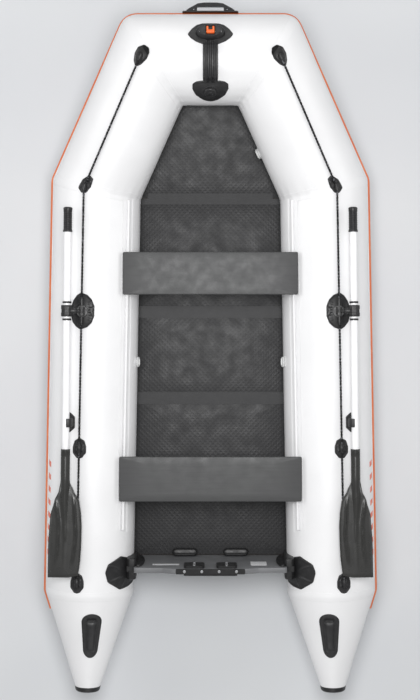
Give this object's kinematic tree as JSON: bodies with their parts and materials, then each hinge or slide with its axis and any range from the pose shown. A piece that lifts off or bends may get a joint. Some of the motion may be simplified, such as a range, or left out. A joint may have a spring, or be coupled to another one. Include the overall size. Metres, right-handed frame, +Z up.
{
  "type": "inflatable boat",
  "caption": "Open inflatable dinghy with a raised bow tube, boarded floor, transom for a motor, two sliding bench seats, lifeline and stowed oars.",
  "frame": {"origin": "middle of the length and the beam, on the plane the boat stands on", "axes": "+Y to the bow, +X to starboard, +Z up"},
  "size_m": [1.6278, 3.3219, 0.6025],
  "materials": {
    "pvc_white": "satin coated",
    "pvc_grey": "satin coated",
    "strake_rubber": "satin",
    "floor_plywood": "painted matte",
    "joiner_aluminium": "anodised black",
    "bare_aluminium": "mill",
    "seat_plywood": "painted matte",
    "transom_plywood": "painted matte",
    "rail_rubber": "satin",
    "black_rubber": "matte",
    "black_plastic": "textured",
    "stainless_steel": "brushed",
    "rope_black": "braided",
    "white_aluminium": "painted gloss",
    "orange_plastic": "moulded",
    "valve_plastic": "moulded"
  },
  "bodies": {
    "root": {"bottom_sheet": "pvc_grey", "bow_cross_tube": "pvc_white", "bow_handle": "black_rubber", "bow_tow_strap": "black_rubber", "chamber_bulkheads": "pvc_grey", "cone_end_caps": "black_rubber", "drain_body": "black_plastic", "floor_board_1": "floor_plywood", "floor_board_2": "floor_plywood", "floor_board_3": "floor_plywood", "floor_board_4": "floor_plywood", "floor_board_5": "floor_plywood", "floor_joiners": "joiner_aluminium", "floor_retainers": "black_rubber", "floor_stringers": "bare_aluminium", "keel_guard": "black_rubber", "keel_tube": "pvc_grey", "lifeline_eyelets": "black_rubber", "motor_plates": "black_plastic", "oar_holders": "black_rubber", "oarlock_bases": "black_rubber", "port_bow_tube": "pvc_white", "port_lifeline": "rope_black", "port_side_tube": "pvc_white", "port_tail_cone": "pvc_white", "rope_lock_body": "black_rubber", "rope_lock_pin": "stainless_steel", "rubbing_strake": "strake_rubber", "seat_rails": "rail_rubber", "starboard_bow_tube": "pvc_white", "starboard_lifeline": "rope_black", "starboard_side_tube": "pvc_white", "starboard_tail_cone": "pvc_white", "stern_handles": "black_rubber", "transom_board": "transom_plywood", "transom_fasteners": "stainless_steel", "transom_holders": "black_rubber", "valve_bodies": "valve_plastic"},
    "front_seat": {"front_seat_board": "seat_plywood", "front_seat_runners": "black_plastic"},
    "rear_seat": {"rear_seat_board": "seat_plywood", "rear_seat_runners": "black_plastic"},
    "starboard_swivel": {"starboard_oarlock": "black_plastic"},
    "port_swivel": {"port_oarlock": "black_plastic"},
    "starboard_oar": {"starboard_oar_shaft": "white_aluminium", "starboard_oar_grip": "black_plastic", "starboard_oar_collar": "black_plastic", "starboard_oar_blade": "black_plastic"},
    "port_oar": {"port_oar_shaft": "white_aluminium", "port_oar_grip": "black_plastic", "port_oar_collar": "black_plastic", "port_oar_blade": "black_plastic"},
    "rope_lever": {"rope_lock_lever": "orange_plastic"},
    "drain_plug": {"drain_plug": "black_plastic"},
    "starboard_cap": {"starboard_valve_cap": "valve_plastic"},
    "starboard_poppet": {"starboard_valve_poppet": "valve_plastic"},
    "port_cap": {"port_valve_cap": "valve_plastic"},
    "port_poppet": {"port_valve_poppet": "valve_plastic"},
    "bow_cap": {"bow_valve_cap": "valve_plastic"},
    "bow_poppet": {"bow_valve_poppet": "valve_plastic"}
  },
  "joints": [
    {"name": "front_seat_slide", "type": "slide", "parent": "root", "child": "front_seat", "axis": [0, 1, 0], "range_m": [-0.15, 0.15]},
    {"name": "rear_seat_slide", "type": "slide", "parent": "root", "child": "rear_seat", "axis": [0, 1, 0], "range_m": [-0.1, 0.15]},
    {"name": "starboard_oar_swing", "type": "hinge", "parent": "root", "child": "starboard_swivel", "pos_m": [0.607, 0.184, 0.464], "axis": [0, 0, 1], "range_deg": [0, 105]},
    {"name": "starboard_oar_lift", "type": "hinge", "parent": "starboard_swivel", "child": "starboard_oar", "pos_m": [0.607, 0.184, 0.464], "axis": [-0.9999, -0.0103, 0], "range_deg": [0, 5]},
    {"name": "port_oar_swing", "type": "hinge", "parent": "root", "child": "port_swivel", "pos_m": [-0.607, 0.184, 0.464], "axis": [0, 0, -1], "range_deg": [0, 105]},
    {"name": "port_oar_lift", "type": "hinge", "parent": "port_swivel", "child": "port_oar", "pos_m": [-0.607, 0.184, 0.464], "axis": [-0.9999, 0.0103, 0], "range_deg": [0, 5]},
    {"name": "rope_lever_lift", "type": "hinge", "parent": "root", "child": "rope_lever", "pos_m": [0, 1.47164, 0.58685], "axis": [1, 0, 0], "range_deg": [0, 60]},
    {"name": "starboard_cap_turn", "type": "hinge", "parent": "root", "child": "starboard_cap", "pos_m": [0.35138, -0.05797, 0.25876], "axis": [-0.978, -0.0178, 0.2079], "range_deg": [0, 90]},
    {"name": "starboard_poppet_press", "type": "slide", "parent": "root", "child": "starboard_poppet", "axis": [0.978, 0.0178, -0.2079], "range_m": [0, 0.004], "stiffness_N_per_m": 400, "springref_m": -0.002},
    {"name": "port_cap_turn", "type": "hinge", "parent": "root", "child": "port_cap", "pos_m": [-0.35138, -0.05797, 0.25876], "axis": [-0.978, 0.0178, -0.2079], "range_deg": [0, 90]},
    {"name": "port_poppet_press", "type": "slide", "parent": "root", "child": "port_poppet", "axis": [-0.978, 0.0178, -0.2079], "range_m": [0, 0.004], "stiffness_N_per_m": 400, "springref_m": -0.002},
    {"name": "bow_cap_turn", "type": "hinge", "parent": "root", "child": "bow_cap", "pos_m": [0.2321, 0.95684, 0.23226], "axis": [-0.9051, -0.3737, -0.2027], "range_deg": [0, 90]},
    {"name": "bow_poppet_press", "type": "slide", "parent": "root", "child": "bow_poppet", "axis": [0.9051, 0.3737, 0.2027], "range_m": [0, 0.004], "stiffness_N_per_m": 400, "springref_m": -0.002},
    {"name": "drain_plug_turn", "type": "hinge", "parent": "root", "child": "drain_plug", "pos_m": [0.215, -1.04686, 0.06141], "axis": [0, -0.9976, -0.0698], "range_deg": [0, 90]}
  ]
}
